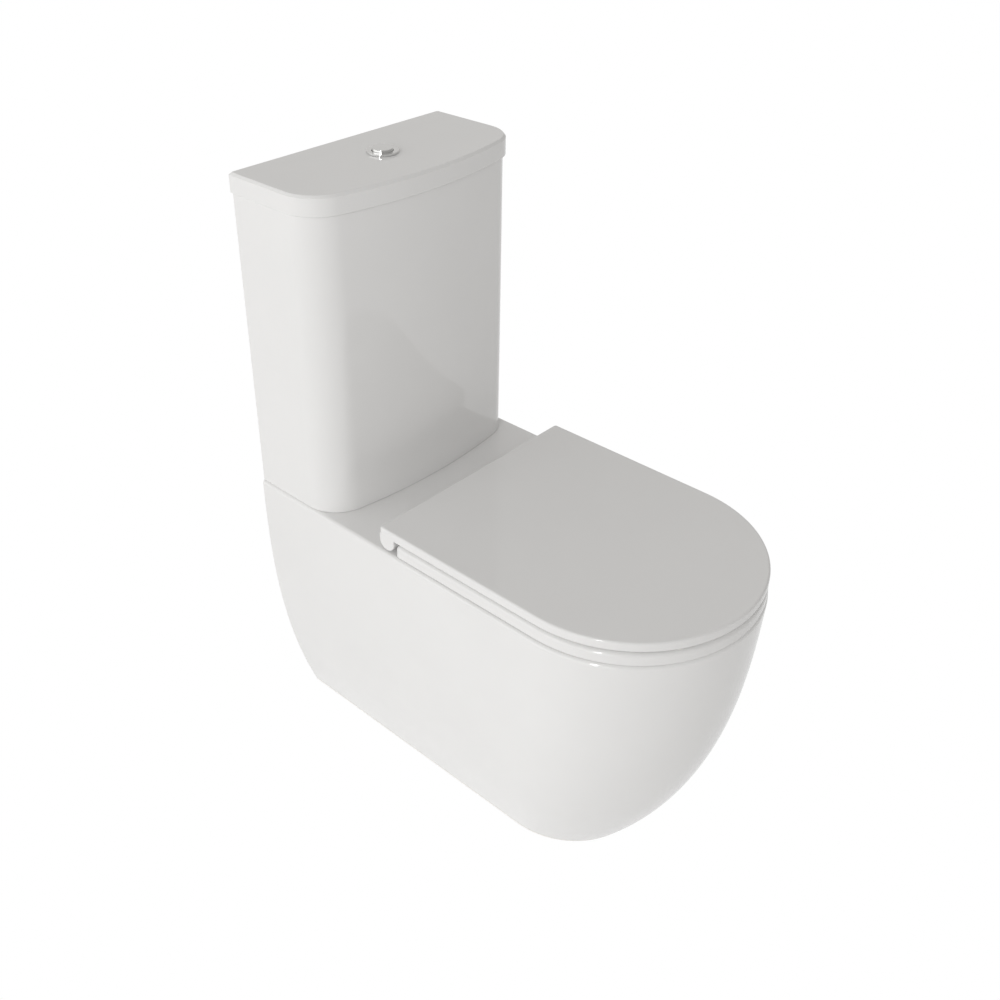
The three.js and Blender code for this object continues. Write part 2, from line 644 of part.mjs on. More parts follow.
function makeSeatLid() {
  const { under, top, rear } = SEAT_LID;
  const level = (z, inset) => ({
    z,
    outline: roundFrontOutline(SEAT_HALF - inset, rear - inset, SEAT_ROUND_Y),
  });
  let lid = stack([level(under, 1), level(under + 1, 0), level(top - 2, 0), level(top, 2)]);
  const recess = { border: 16, rear: rear - 45, top: top - 6.4 };
  const recessAt = (z) => ({
    z,
    outline: roundFrontOutline(SEAT_HALF - recess.border, recess.rear, SEAT_ROUND_Y),
  });
  lid = lid.subtract(stack([recessAt(under - 1), recessAt(recess.top)]));
  const roll = postAlongX(HINGE.roll, -SEAT_HALF, SEAT_HALF, HINGE.y, HINGE.z, 28);
  const [rollFront, rollBack] = [HINGE.y - HINGE.roll, HINGE.y + HINGE.roll - 0.1];
  lid = lid.add(roll).add(box(-SEAT_HALF, SEAT_HALF, rollFront, rollBack, HINGE.z, under + 2));
  for (const [, sign] of SIDES) {
    const middle = sign * HINGE.x;
    const notchRoof = top - 5.9;
    lid = lid.subtract(
      box(middle - cheekReach, middle + cheekReach, HINGE.y - 24, rear + 5, HINGE.z - 20, notchRoof),
    );
    lid = lid.subtract(
      postAlongX(HINGE.pin + GAP, middle - pinReach - GAP, middle + pinReach + GAP, HINGE.y, HINGE.z),
    );
  }
  place('seat_lid', lid, seatPlastic());
}

function makeHinges() {
  const underDeck = PAN_TOP - DECK_THICK;
  const bolt = { radius: 4, foot: 372, top: 421 };
  const foot = { front: 13, back: 10, top: PAN_TOP + 4.5 };
  const eye = 8; // radius of the post's round head, and half its depth
  const nut = { radius: 12, height: 14, top: underDeck - GAP };
  for (const [side, sign] of SIDES) {
    const x = sign * HINGE.x;
    const y = HINGE.y;
    const [x0, x1] = [x - POST_HALF, x + POST_HALF];
    let stand = box(x0, x1, y - foot.front, y + foot.back, PAN_TOP + GAP, foot.top);
    stand = stand.add(box(x0, x1, y - eye, y + eye, foot.top - 0.5, HINGE.z));
    stand = stand.add(postAlongX(eye, x0, x1, y, HINGE.z));
    stand = stand.subtract(postAlongX(HINGE.pin + GAP, x0 - eye, x1 + eye, y, HINGE.z));
    stand = stand.subtract(post(bolt.radius + GAP, x, y, PAN_TOP - 1, bolt.top + GAP, 16));
    place(`hinge_post_${side}`, stand, chrome());
    place(`hinge_pin_${side}`, postAlongX(HINGE.pin, x - pinReach, x + pinReach, y, HINGE.z), steel());
    place(`hinge_bolt_${side}`, post(bolt.radius, x, y, bolt.foot, bolt.top, 16), steel());
    const nutRing = ring(nut.radius, bolt.radius + GAP, x, y, nut.top - nut.height, nut.top, 12);
    place(`hinge_nut_${side}`, nutRing, whitePlastic());
  }
}

function makeBuffers() {
  const lidPlace = [90, -645];
  for (const [x, y, end, side] of bufferPlaces()) {
    const buffer = post(BUFFER.radius, x, y, PAN_TOP + GAP, SEAT_RING.under + BUFFER.pocket, 16);
    place(`ring_buffer_${end}_${side}`, buffer, bufferRubber());
  }
  for (const [side, sign] of SIDES) {
    const [x, y] = lidPlace;
    const buffer = post(5, sign * x, y, SEAT_RING.top + GAP, SEAT_LID.under - GAP, 16);
    place(`lid_buffer_${side}`, buffer, bufferRubber());
  }
}

// ---------------------------------------------------------------- floor fixings

function makeFloorFixings() {
  const y = -230;
  const thick = 5;
  const halfLength = 18;
  const screw = { radius: 3, head: 6.5 };
  for (const [side, sign] of SIDES) {
    const span = (a, b) => [sign * a, sign * b].sort((p, q) => p - q);
    const [x0, x1] = span(70, 102);
    const [upright0, upright1] = span(102 - thick, 102);
    const screwX = sign * 84;
    let bracket = box(x0, x1, y - halfLength, y + halfLength, GAP, thick);
    bracket = bracket.add(box(upright0, upright1, y - halfLength, y + halfLength, GAP, 48));
    bracket = bracket.subtract(post(screw.radius + GAP, screwX, y, -1, thick + 1, 16));
    place(`floor_bracket_${side}`, bracket, greyPlastic());
    const shank = post(screw.radius, screwX, y, GAP, thick + 2, 16);
    place(`floor_screw_${side}`, shank.add(post(screw.head, screwX, y, thick + GAP, thick + 4)), steel());
  }
}

makePan();
makeCistern();
makeCisternLid();
makeButton();
makeFlushValve();
makeFillValve();
makeCouplingBolts();
makeSeatRing();
makeSeatLid();
makeHinges();
makeBuffers();
makeFloorFixings();

export default assembly;
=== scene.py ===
# %% [markdown]
# # A close coupled toilet
# The real object is two castings of glazed white ceramic, the pan and the cistern with its lid, and a
# slim seat and cover pressed from white plastic. One chrome button stands in the cistern lid. Everything
# else, the valves, bolts, hinges and brackets, is hidden until the lids are lifted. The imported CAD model
# is loaded first and stays as it is: it gives every place and size, and each finer piece made below
# rides on one of its bodies. The sizes kept here are metres.

import json
import math

import bmesh
import bpy
import numpy as np
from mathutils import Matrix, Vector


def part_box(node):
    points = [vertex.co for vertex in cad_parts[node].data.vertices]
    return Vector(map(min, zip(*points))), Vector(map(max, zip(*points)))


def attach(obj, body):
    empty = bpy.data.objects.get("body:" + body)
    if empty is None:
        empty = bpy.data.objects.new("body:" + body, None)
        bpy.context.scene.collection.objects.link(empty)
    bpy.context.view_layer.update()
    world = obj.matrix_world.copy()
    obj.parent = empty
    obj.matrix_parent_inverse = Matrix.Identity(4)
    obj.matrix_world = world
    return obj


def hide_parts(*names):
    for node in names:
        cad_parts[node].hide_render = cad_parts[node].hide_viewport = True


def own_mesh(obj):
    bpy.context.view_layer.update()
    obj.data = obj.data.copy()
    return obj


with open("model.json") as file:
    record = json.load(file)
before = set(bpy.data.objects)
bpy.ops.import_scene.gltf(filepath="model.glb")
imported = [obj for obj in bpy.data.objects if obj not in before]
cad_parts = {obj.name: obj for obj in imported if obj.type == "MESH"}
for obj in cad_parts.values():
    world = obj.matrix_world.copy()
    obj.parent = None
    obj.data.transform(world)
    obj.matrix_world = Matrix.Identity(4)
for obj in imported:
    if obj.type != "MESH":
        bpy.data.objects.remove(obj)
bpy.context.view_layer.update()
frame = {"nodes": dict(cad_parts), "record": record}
RIDES = {node: body for body, members in frame["record"]["behaviour"]["bodies"].items() for node in members}
SLOTS = {entry["node"]: entry["material_slot"] for entry in frame["record"]["subparts"]}

# %% [markdown]
# Glaze, plastic and chrome are mostly told apart by how they reflect, so the shader maths matters more
# than the base colours. Writing it as Python expressions keeps each finish short. A small class wraps one
# socket of a node tree: arithmetic on it adds Math nodes, and one method adds any other kind of node.

# %% A socket that arithmetic works on
class Signal:
    """One output socket. An operator adds the Math node of that name and gives back its output."""

    def __init__(self, tree, socket):
        self.tree = tree
        self.socket = socket

    def node(self, kind, inputs, output=0, **settings):
        """Adds a node of a kind: settings first, then each input's value or link, by name or number."""
        made = self.tree.nodes.new("ShaderNode" + kind)
        stops = settings.pop("stops", None)
        for name, value in settings.items():
            setattr(made, name, value)
        if stops:
            made.color_ramp.elements[0].position, made.color_ramp.elements[1].position = stops
        for name, value in inputs.items():
            if isinstance(value, Signal):
                self.tree.links.new(value.socket, made.inputs[name])
            else:
                made.inputs[name].default_value = value
        return Signal(self.tree, made.outputs[output])

    def maths(self, operation, first, second=0.0):
        return self.node("Math", {0: first, 1: second}, operation=operation)

    def __add__(self, other):
        return self.maths("ADD", self, other)

    def __sub__(self, other):
        return self.maths("SUBTRACT", self, other)

    def __rsub__(self, other):
        return self.maths("SUBTRACT", other, self)

    def __mul__(self, other):
        return self.maths("MULTIPLY", self, other)

    __radd__ = __add__
    __rmul__ = __mul__

    def smooth(self, low, high):
        """0 below low and 1 above high, with a soft rise between."""
        ends = {"Value": self, "From Min": low, "From Max": high}
        return self.node("MapRange", ends, interpolation_type="SMOOTHSTEP")

    def blend(self, one, other):
        """A colour that goes from one to other as this value goes from 0 to 1."""
        return self.node("Mix", {"Factor": self, 6: one, 7: other}, output=2, data_type="RGBA")


# %% [markdown]
# A finish starts from a Principled shader. What is the same all over goes on its sockets as numbers, and
# what varies is linked. Patterns read Object coordinates, because every piece sits at the origin with its
# place in its mesh, so one noise runs on from piece to piece as it would through one batch of glaze.

# %% Start a finish
def new_finish(name, base, roughness, **constants):
    """A material with a Principled shader. Gives it, its shader and the Object coordinates."""
    material = bpy.data.materials.new(name)
    material.use_nodes = True
    tree = material.node_tree
    shader = tree.nodes["Principled BSDF"]
    shader.inputs["Base Color"].default_value = (*base, 1)
    shader.inputs["Roughness"].default_value = roughness
    for socket, value in constants.items():
        shader.inputs[socket.replace("_", " ")].default_value = value
    coordinates = tree.nodes.new("ShaderNodeTexCoord")
    return material, shader, Signal(tree, coordinates.outputs["Object"])


def feed(shader, socket, signal):
    signal.tree.links.new(signal.socket, shader.inputs[socket])


def noise(place, scale, detail=2.0, stretch=(1, 1, 1)):
    """Cloudy noise from 0 to 1, with scale features to the metre, drawn out along an axis by stretch."""
    stretched = place.node("Mapping", {"Vector": place, "Scale": stretch})
    return place.node("TexNoise", {"Vector": stretched, "Scale": scale, "Detail": detail})


def bump(height, strength, depth):
    """The normal of a surface raised by height times a depth in metres."""
    return height.node("Bump", {"Height": height, "Strength": strength, "Distance": depth})


def shade(rgb, factor):
    return (*(factor * value for value in rgb), 1)


# %% [markdown]
# Sanitary glaze is a layer of glass about a millimetre thick over a white body. It is almost a mirror, yet
# it flows a little while it is fired, so straight reflections bend very slightly. Two low waves in the
# bump give that. Where the casting stands on the floor the glaze is wiped off and the bare, matt, creamy
# body shows. A separate clear coat was another way, but its second highlight only doubles the first one.

# %% Glazed ceramic
WHITE_GLAZE = (0.85, 0.847, 0.841)
BARE_BODY = (0.78, 0.74, 0.67)


def glazed_ceramic():
    material, shader, place = new_finish("glazed_ceramic", WHITE_GLAZE, 0.03, IOR=1.52)
    height = place.node("SeparateXYZ", {0: place}, output=2)
    wiped = 1 - height.smooth(0.0015, 0.003)
    cloud = noise(place, 7.0, detail=3.0).smooth(0.35, 0.7)
    glaze = cloud.blend(shade(WHITE_GLAZE, 1.0), shade(WHITE_GLAZE, 0.985))
    feed(shader, "Base Color", wiped.blend(glaze, (*BARE_BODY, 1)))
    feed(shader, "Roughness", 0.015 + 0.025 * noise(place, 18.0) + 0.55 * wiped)
    flow = noise(place, 9.0, detail=1.0) + 0.12 * noise(place, 55.0, detail=1.0)
    feed(shader, "Normal", bump(flow, 0.06, 0.0006))
    return material


# %% [markdown]
# The seat and its cover are pressed from urea, a hard plastic that is polished by its mould. It is nearly
# as shiny as the glaze. Very fine orange peel softens the highlight, which noise at a tenth of a
# millimetre does better than a higher roughness would.

# %% Pressed seat plastic
SEAT_WHITE = (0.835, 0.832, 0.826)


def seat_plastic():
    material, shader, place = new_finish("seat_plastic", SEAT_WHITE, 0.035, IOR=1.5)
    cloud = noise(place, 11.0, detail=4.0).smooth(0.3, 0.75)
    feed(shader, "Base Color", cloud.blend(shade(SEAT_WHITE, 1.0), shade(SEAT_WHITE, 0.99)))
    feed(shader, "Roughness", 0.02 + 0.03 * noise(place, 40.0, detail=3.0))
    peel = 0.1 * noise(place, 900.0, detail=1.0) + noise(place, 14.0, detail=1.0)
    feed(shader, "Normal", bump(peel, 0.06, 0.0003))
    return material


# %% [markdown]
# Metals here are of three kinds: bright chrome on what a hand touches, plain steel on pins, springs and
# screws, and brass on the bolts that water wets. All are Principled with Metallic at 1. Chrome only gets
# faint wipe marks in its roughness. Steel and brass carry drawn-out scratches and a little tarnish.

# %% Metals
def metal(name, base, roughness, scratch_depth, tarnish):
    """A metal with scratches drawn out along X and a duller colour that comes in patches."""
    material, shader, place = new_finish(name, base, roughness, Metallic=1.0)
    patches = noise(place, 60.0, detail=5.0).smooth(0.45, 0.75)
    feed(shader, "Base Color", patches.blend(shade(base, 1.0), shade(base, 1 - tarnish)))
    scratches = noise(place, 900.0, detail=2.0, stretch=(0.06, 1, 1))
    wiped = roughness * (0.7 + 0.6 * noise(place, 45.0, detail=3.0))
    feed(shader, "Roughness", wiped + 0.6 * tarnish * patches)
    feed(shader, "Normal", bump(scratches, 0.25, scratch_depth))
    return material


# %% [markdown]
# The valves are moulded plastic with a fine spark-eroded grain. The washers and the foam ring are rubber:
# matt, a little dusty, and the foam shows its cut cells. One function makes all of these, because only
# the grain's scale and depth, the colour and the shine differ.

# %% Moulded plastics and rubbers
def moulded(name, base, roughness, grain_scale, grain_depth, dust=0.06, cells=False, **constants):
    """A soft-sheened material: slow colour change, uneven shine, and a grain or cut cells in the bump."""
    material, shader, place = new_finish(name, base, roughness, **constants)
    cloud = noise(place, 28.0, detail=5.0).smooth(0.3, 0.75)
    feed(shader, "Base Color", cloud.blend(shade(base, 1 - dust), shade(base, 1 + dust)))
    feed(shader, "Roughness", roughness * (0.85 + 0.3 * noise(place, 90.0, detail=3.0)))
    if cells:
        grain = place.node("TexVoronoi", {"Vector": place, "Scale": grain_scale})
    else:
        grain = noise(place, grain_scale, detail=3.0)
    feed(shader, "Normal", bump(grain, 0.5, grain_depth))
    return material


FINISHES = {
    "glazed_ceramic": glazed_ceramic(),
    "seat_plastic": seat_plastic(),
    "chrome": metal("chrome", (0.78, 0.78, 0.775), 0.06, 0.000004, 0.03),
    "steel": metal("steel", (0.58, 0.57, 0.55), 0.28, 0.00003, 0.2),
    "brass": metal("brass", (0.72, 0.52, 0.24), 0.26, 0.00003, 0.3),
    "white_plastic": moulded("white_plastic", (0.76, 0.76, 0.73), 0.38, 1400.0, 0.00005),
    "blue_plastic": moulded("blue_plastic", (0.09, 0.23, 0.42), 0.36, 1400.0, 0.00005),
    "grey_plastic": moulded("grey_plastic", (0.26, 0.27, 0.28), 0.45, 1400.0, 0.00006),
    "black_rubber": moulded("black_rubber", (0.022, 0.022, 0.023), 0.62, 700.0, 0.00012, dust=0.25),
    "foam_rubber": moulded("foam_rubber", (0.04, 0.04, 0.04), 0.95, 650.0, 0.0008, dust=0.3, cells=True),
    "buffer_rubber": moulded("buffer_rubber", (0.74, 0.73, 0.69), 0.5, 900.0, 0.00006),
}
print("finishes:", ", ".join(FINISHES))

# %% [markdown]
# Every new surface below is a grid of points worked out with numpy: ring after ring, each ring an outline
# with the same number of points. One function skins such a grid and closes its ends. It measures the
# enclosed volume to make sure that the faces look outwards.

# %% Skin a grid of rings
def signed_volume(points, quads, flat_faces):
    """The volume inside a closed skin, which comes out negative when its faces point inwards."""
    fans = [np.column_stack([np.full(len(f) - 2, f[0]), f[1:-1], f[2:]]) for f in map(np.asarray, flat_faces)]
    triangles = np.vstack([quads[:, [0, 1, 2]], quads[:, [0, 2, 3]], *fans])
    a, b, c = points[triangles[:, 0]], points[triangles[:, 1]], points[triangles[:, 2]]
    return np.einsum("ij,ij->i", a, np.cross(b, c)).sum() / 6


def skin(name, rings, loop=False):
    """An object whose faces join point i of ring k to point i + 1 and to ring k + 1.

    With loop the last ring joins the first, as round a tyre. Without it, one flat face closes each end.
    """
    rings = np.asarray(rings, float)
    count, sides = rings.shape[:2]
    number = np.arange(count * sides).reshape(count, sides)
    lower = number if loop else number[:-1]
    upper = np.roll(number, -1, axis=0) if loop else number[1:]
    corners = [lower, np.roll(lower, -1, axis=1), np.roll(upper, -1, axis=1), upper]
    quads = np.stack(corners, axis=-1).reshape(-1, 4)
    flat_faces = [] if loop else [number[0, ::-1].tolist(), number[-1].tolist()]
    points = rings.reshape(-1, 3)
    if signed_volume(points - points.mean(axis=0), quads, flat_faces) < 0:
        quads = quads[:, ::-1]
        flat_faces = [face[::-1] for face in flat_faces]
    mesh = bpy.data.meshes.new(name)
    mesh.from_pydata(points.tolist(), [], quads.tolist() + flat_faces)
    mesh.update()
    made = bpy.data.objects.new(name, mesh)
    bpy.context.scene.collection.objects.link(made)
    return made


def level(outline, z):
    """A flat ring: an outline of x, y points at one height."""
    return np.column_stack([outline, np.full(len(outline), z)])


# %% [markdown]
# Holes and joined lumps come from the Boolean modifier. It is applied straight away and its tool removed,
# so only the finished mesh stays. Its manifold solver is fast and keeps closed solids closed.

# %% Join and cut
def reshape_with(target, tools, operation):
    """Joins tools to target or cuts them from it, keeps the result as target's mesh and removes the tools."""
    for tool in tools:
        step = target.modifiers.new(operation.lower(), "BOOLEAN")
        step.operation = operation
        step.solver = "MANIFOLD"
        step.object = tool
    graph = bpy.context.evaluated_depsgraph_get()
    result = bpy.data.meshes.new_from_object(target.evaluated_get(graph))
    target.modifiers.clear()
    target.data = result
    for tool in tools:
        bpy.data.objects.remove(tool)
    return target


def join(target, *tools):
    return reshape_with(target, tools, "UNION")


def cut(target, *tools):
    return reshape_with(target, tools, "DIFFERENCE")


# %% [markdown]
# A finished piece takes its finish, rides on the body of the CAD nodes that it stands for, and gets smooth
# shading that stops at real edges. Weighted normals keep large flat faces flat up to their rounded rims.

# %% Put a piece in service
EDGE_ANGLE = math.radians(38)


def finished(made, *stands_for, edge_angle=EDGE_ANGLE):
    """Shades a piece, gives it the finish of the first node that it replaces, and lets it ride with it."""
    first = stands_for[0]
    made.data.materials.clear()
    made.data.materials.append(FINISHES[SLOTS[first]])
    made.data.shade_smooth()
    made.data.set_sharp_from_angle(angle=edge_angle)
    normals = made.modifiers.new("flat_faces_stay_flat", "WEIGHTED_NORMAL")
    normals.keep_sharp = True
    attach(made, RIDES[first])
    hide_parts(*stands_for)
    print(f"{made.name}: {len(made.data.polygons)} faces, rides on {RIDES[first]}")
    return made


# %% [markdown]
# Outlines are drawn from arcs. The pan and the seat share a D: a straight back and sides with a half
# circle in front. The cistern and its lid share a bowed front that runs into round corners. Both can be
# drawn again parallel to themselves, further in, which is how edges get their rounding.

# %% Outlines
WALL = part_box("cistern")[1].y
FRONT_STEPS = 96


def arc(x, y, radius, start, end, steps):
    """Points on a circle about x, y, from one angle to another."""
    turn = np.linspace(start, end, steps + 1)
    return np.column_stack([x + radius * np.cos(turn), y + radius * np.sin(turn)])


def round_front(half, rear, middle_y, corner=0.003):
    """The D: a half circle about (0, middle_y) whose ends run straight back to small rear corners."""
    rear_left = arc(corner - half, rear - corner, corner, np.pi / 2, np.pi, 6)
    front = arc(0, middle_y, half, np.pi, 2 * np.pi, FRONT_STEPS)
    rear_right = arc(half - corner, rear - corner, corner, 0, np.pi / 2, 6)
    return np.vstack([rear_left, front, rear_right])


def bowed(half, front, bow, inset=0.0, rear=None, corner=0.054, rear_corner=0.003):
    """A flat back, straight sides, round corners, and a front on a circle of radius bow.

    front is measured from the wall. inset moves the whole outline inwards, parallel to itself.
    """
    middle_y = WALL + front + bow
    half, bow, corner = half - inset, bow - inset, corner - inset
    rear = WALL - inset if rear is None else rear
    corner_x = half - corner
    corner_y = middle_y - math.sqrt((bow - corner) ** 2 - corner_x**2)
    meet = math.atan2(corner_x, middle_y - corner_y)
    down = -np.pi / 2
    return np.vstack([
        arc(rear_corner - half, rear - rear_corner, rear_corner, np.pi / 2, np.pi, 5),
        arc(-corner_x, corner_y, corner, -np.pi, down - meet, 20),
        arc(0, middle_y, bow, down - meet, down + meet, 40)[1:-1],
        arc(corner_x, corner_y, corner, down + meet, 0, 20),
        arc(half - rear_corner, rear - rear_corner, rear_corner, 0, np.pi / 2, 5),
    ])


def oval(half_x, half_y, y, steps=96):
    """An ellipse about (0, y)."""
    turn = np.linspace(0, 2 * np.pi, steps, endpoint=False)
    return np.column_stack([half_x * np.cos(turn), y + half_y * np.sin(turn)])


def rounding(radius, steps=6):
    """How far in and how far up each step of a quarter-round edge lies, from its foot to its top."""
    turn = np.linspace(0, np.pi / 2, steps + 1)
    return zip(radius * (1 - np.cos(turn)), radius * np.sin(turn))


# %% [markdown]
# ## The pan
# The skirt is one surface. Its half width and its front edge both follow powers of the depth below the
# deck, so it falls almost straight at first and then curves in faster and faster towards the foot. The
# deck's rim is a quarter round. Sculpting or subdividing a rough cage would also work, but the power law
# gives the whole silhouette with four numbers and no lumps in the reflections.

# %% The skirt's shape
PAN_LOW, PAN_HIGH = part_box("pan")
DECK = PAN_HIGH.z
PAN_EDGE = 0.006
FOOT_EDGE = 0.002
PAN_WALL = 0.012
DECK_THICK = 0.014
FOOT_HALF = 0.1178
SKIRT_LEVELS = 56


def skirt_outline(z, inset=0.0, rear=PAN_HIGH.y, corner=0.003):
    """The D at height z: half width and front are powers 2.5 and 2.76 of the depth below the rim."""
    skirt_top = DECK - PAN_EDGE
    depth = np.clip((skirt_top - z) / skirt_top, 0, 1)
    half = PAN_HIGH.x - (PAN_HIGH.x - FOOT_HALF) * depth**2.5
    front = PAN_LOW.y + 0.026 * depth + 0.1007 * depth**2.76
    return round_front(half - inset, rear, front + half, corner)


def skirt():
    turns = rounding(FOOT_EDGE, 4)
    foot = [level(skirt_outline(0, FOOT_EDGE - across), FOOT_EDGE - up) for up, across in turns]
    heights = np.linspace(FOOT_EDGE, DECK - PAN_EDGE, SKIRT_LEVELS)[1:-1]
    side = [level(skirt_outline(z), z) for z in heights]
    rim = [level(skirt_outline(DECK, inward), DECK - PAN_EDGE + up) for inward, up in rounding(PAN_EDGE, 10)]
    return skin("pan", foot + side + rim)


# %% [markdown]
# The bowl falls from an oval rim to a small sump in one S-curve, a cosine, and turns over into the deck
# with a soft lip. The trap is a bent pipe behind it. Both are made twice, a solid for the outside and a
# thinner one for the inside, so the ceramic keeps its thickness all the way round.

# %% Bowl and trap shapes
BOWL_MIDDLE, BOWL_HALF_X, BOWL_HALF_Y = -0.128, 0.136, 0.170
SUMP_MIDDLE, SUMP_HALF_X, SUMP_HALF_Y = -0.044, 0.040, 0.046
BOWL_FLOOR = 0.150
BOWL_WALL = 0.010
BOWL_LIP = 0.005
SUMP_EDGE = 0.012


def bowl_outline(z, grow):
    """The oval at height z: every measure goes from rim to sump by half of one minus a cosine."""
    depth = np.clip((DECK - z) / (DECK - BOWL_FLOOR), 0, 1)
    narrowing = (1 - np.cos(np.pi * depth)) / 2
    measures = [(BOWL_HALF_X, SUMP_HALF_X), (BOWL_HALF_Y, SUMP_HALF_Y), (BOWL_MIDDLE, SUMP_MIDDLE)]
    half_x, half_y, middle = (rim + (sump - rim) * narrowing for rim, sump in measures)
    return oval(half_x + grow, half_y + grow, middle)


def bowl_solid(name, grow, top, lip=0.0):
    """The bowl's volume, grown outwards; lip flares its mouth as a quarter round."""
    foot = BOWL_FLOOR - grow
    turns = rounding(SUMP_EDGE)
    floor = [level(bowl_outline(BOWL_FLOOR, grow - inward), foot + SUMP_EDGE - up) for inward, up in turns]
    side = [level(bowl_outline(z, grow), z) for z in np.linspace(foot + SUMP_EDGE, DECK - BOWL_LIP, 48)[1:]]
    flare = rounding(lip, 6) if lip else []
    mouth = [level(bowl_outline(DECK, grow + inward), DECK - BOWL_LIP + up) for inward, up in flare]
    return skin(name, floor[::-1] + side + mouth + [level(bowl_outline(DECK, grow + lip), top)])


TRAP_PATH = np.array([
    [SUMP_MIDDLE, 0.176], [-0.032, 0.134], [0.015, 0.118], [0.068, 0.146], [0.102, 0.210],
    [0.140, 0.244], [0.182, 0.240], [0.218, 0.205], [0.254, 0.185], [0.274, 0.185],
])


def smooth_path(points, steps):
    """A Catmull-Rom curve through points: each stretch is a cubic led by its neighbours."""
    ends = np.vstack([2 * points[0] - points[1], points, 2 * points[-1] - points[-2]])
    before, start, end, after = (ends[i:len(ends) - 3 + i, None] for i in range(4))
    t = np.linspace(0, 1, steps, endpoint=False)[None, :, None]
    cubic = 2 * start + (end - before) * t + (2 * before - 5 * start + 4 * end - after) * t**2
    cubic = (cubic + (3 * start - before - 3 * end + after) * t**3) / 2
    return np.vstack([cubic.reshape(-1, points.shape[1]), points[-1]])


def middle_pipe(name, path, radius, sides=48):
    """A round section carried along a path of y, z points in the middle plane."""
    along = np.gradient(path, axis=0)
    along /= np.linalg.norm(along, axis=1, keepdims=True)
    outward = np.column_stack([along[:, 1], -along[:, 0]])
    turn = np.linspace(0, 2 * np.pi, sides, endpoint=False)
    x = np.broadcast_to(radius * np.cos(turn), (len(path), sides))
    offset = radius * np.sin(turn)[None, :, None] * outward[:, None, :]
    yz = path[:, None, :] + offset
    return skin(name, np.dstack([x, yz]))


def drum(name, radius, x, y, low, high, sides=64):
    """A plain upright cylinder, for holes and bosses."""
    outline = oval(radius, radius, y, sides) + [x, 0]
    return skin(name, [level(outline, low), level(outline, high)])


def block(name, x0, x1, y0, y1, z0, z1):
    outline = np.array([[x0, y0], [x1, y0], [x1, y1], [x0, y1]])
    return skin(name, [level(outline, z0), level(outline, z1)])


# %% Make the pan
VALVE_Y = WALL - 0.082
INLET_X = -0.132
BOLT_X = 0.086
HINGE_X = 0.0775
HINGE_Y = sum(corner.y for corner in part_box("hinge_pin_left")) / 2
HINGE_Z = sum(corner.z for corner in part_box("hinge_pin_left")) / 2
PAST = 0.01


def make_pan():
    under = DECK - DECK_THICK
    hollow_levels = [-PAST, *np.linspace(0, under, 40)]
    hollow = skin("hollow", [level(skirt_outline(z, PAN_WALL, PAN_HIGH.y + PAST), z) for z in hollow_levels])
    pan = cut(skirt(), hollow)

    trap = smooth_path(TRAP_PATH, 8)
    spigot = np.array([[WALL - 0.096, 0.185], [WALL - 0.022, 0.185]])
    channel = block("channel_wall", -0.047, 0.047, WALL - 0.315, WALL - 0.028, 0.340, under + 0.001)
    web_levels = np.linspace(0.110, under + 0.001, 24)
    half = [skirt_outline(z, 0.002)[:, 0].max() for z in web_levels]
    corners = np.array([[-1, 0.178], [1, 0.178], [1, 0.190], [-1, 0.190]])
    web = skin("web", [level(corners * [wide, 1], z) for wide, z in zip(half, web_levels)])
    join(
        pan,
        bowl_solid("bowl_wall", BOWL_WALL, under + 0.001),
        channel,
        drum("socket_wall", 0.065, 0, VALVE_Y, 0.372, under + 0.001),
        web,
        middle_pipe("trap_wall", trap, 0.046),
        middle_pipe("spigot_wall", spigot, 0.051),
    )
    holes = [
        bowl_solid("bowl", 0.0, DECK + 0.002, BOWL_LIP),
        middle_pipe("waterway", trap, 0.036),
        middle_pipe("spigot_bore", spigot + [[0.012, 0], [PAST, 0]], 0.043),
        block("channel", -0.037, 0.037, WALL - 0.315, WALL - 0.038, 0.350, 0.372),
        drum("valve_way", 0.032, 0, VALVE_Y, 0.355, 0.389),
        drum("valve_socket", 0.053, 0, VALVE_Y, 0.384, DECK + PAST),
        drum("inlet_hole", 0.024, INLET_X, VALVE_Y, under - PAST, DECK + PAST),
    ]
    for side in (-1, 1):
        holes.append(drum("bolt_hole", 0.006, side * BOLT_X, VALVE_Y, under - PAST, DECK + PAST, 32))
        holes.append(drum("hinge_hole", 0.006, side * HINGE_X, HINGE_Y, under - PAST, DECK + PAST, 32))
    return finished(cut(pan, *holes), "pan")


make_pan()

# %% [markdown]
# ## The cistern
# The tank leans out a little from its foot to its rim. Its wall runs round the outside, over the rim and
# down the inside as one surface, so the casting is a real shell with rounded rims and a floor. Only the
# holes for the valves and bolts are cut.

# %% Make the cistern
TANK_FOOT = {"half": 0.1783, "front": -0.166, "bow": 0.800}
TANK_HEAD = {"half": 0.1791, "front": -0.1715, "bow": 0.620}
TANK_LOW, TANK_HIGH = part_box("cistern")
TANK_WALL = 0.010
TANK_FLOOR = 0.014
TANK_FOOT_EDGE = 0.0008
TANK_RIM_EDGE = 0.0012


def tank_outline(z, inset=0.0, rear=None):
    """The bowed outline at height z: its measures go straight from the foot's to the rim's."""
    share = (z - TANK_LOW.z) / (TANK_HIGH.z - TANK_LOW.z)
    shape = {key: TANK_FOOT[key] + (TANK_HEAD[key] - TANK_FOOT[key]) * share for key in TANK_FOOT}
    return bowed(**shape, inset=inset, rear=rear)


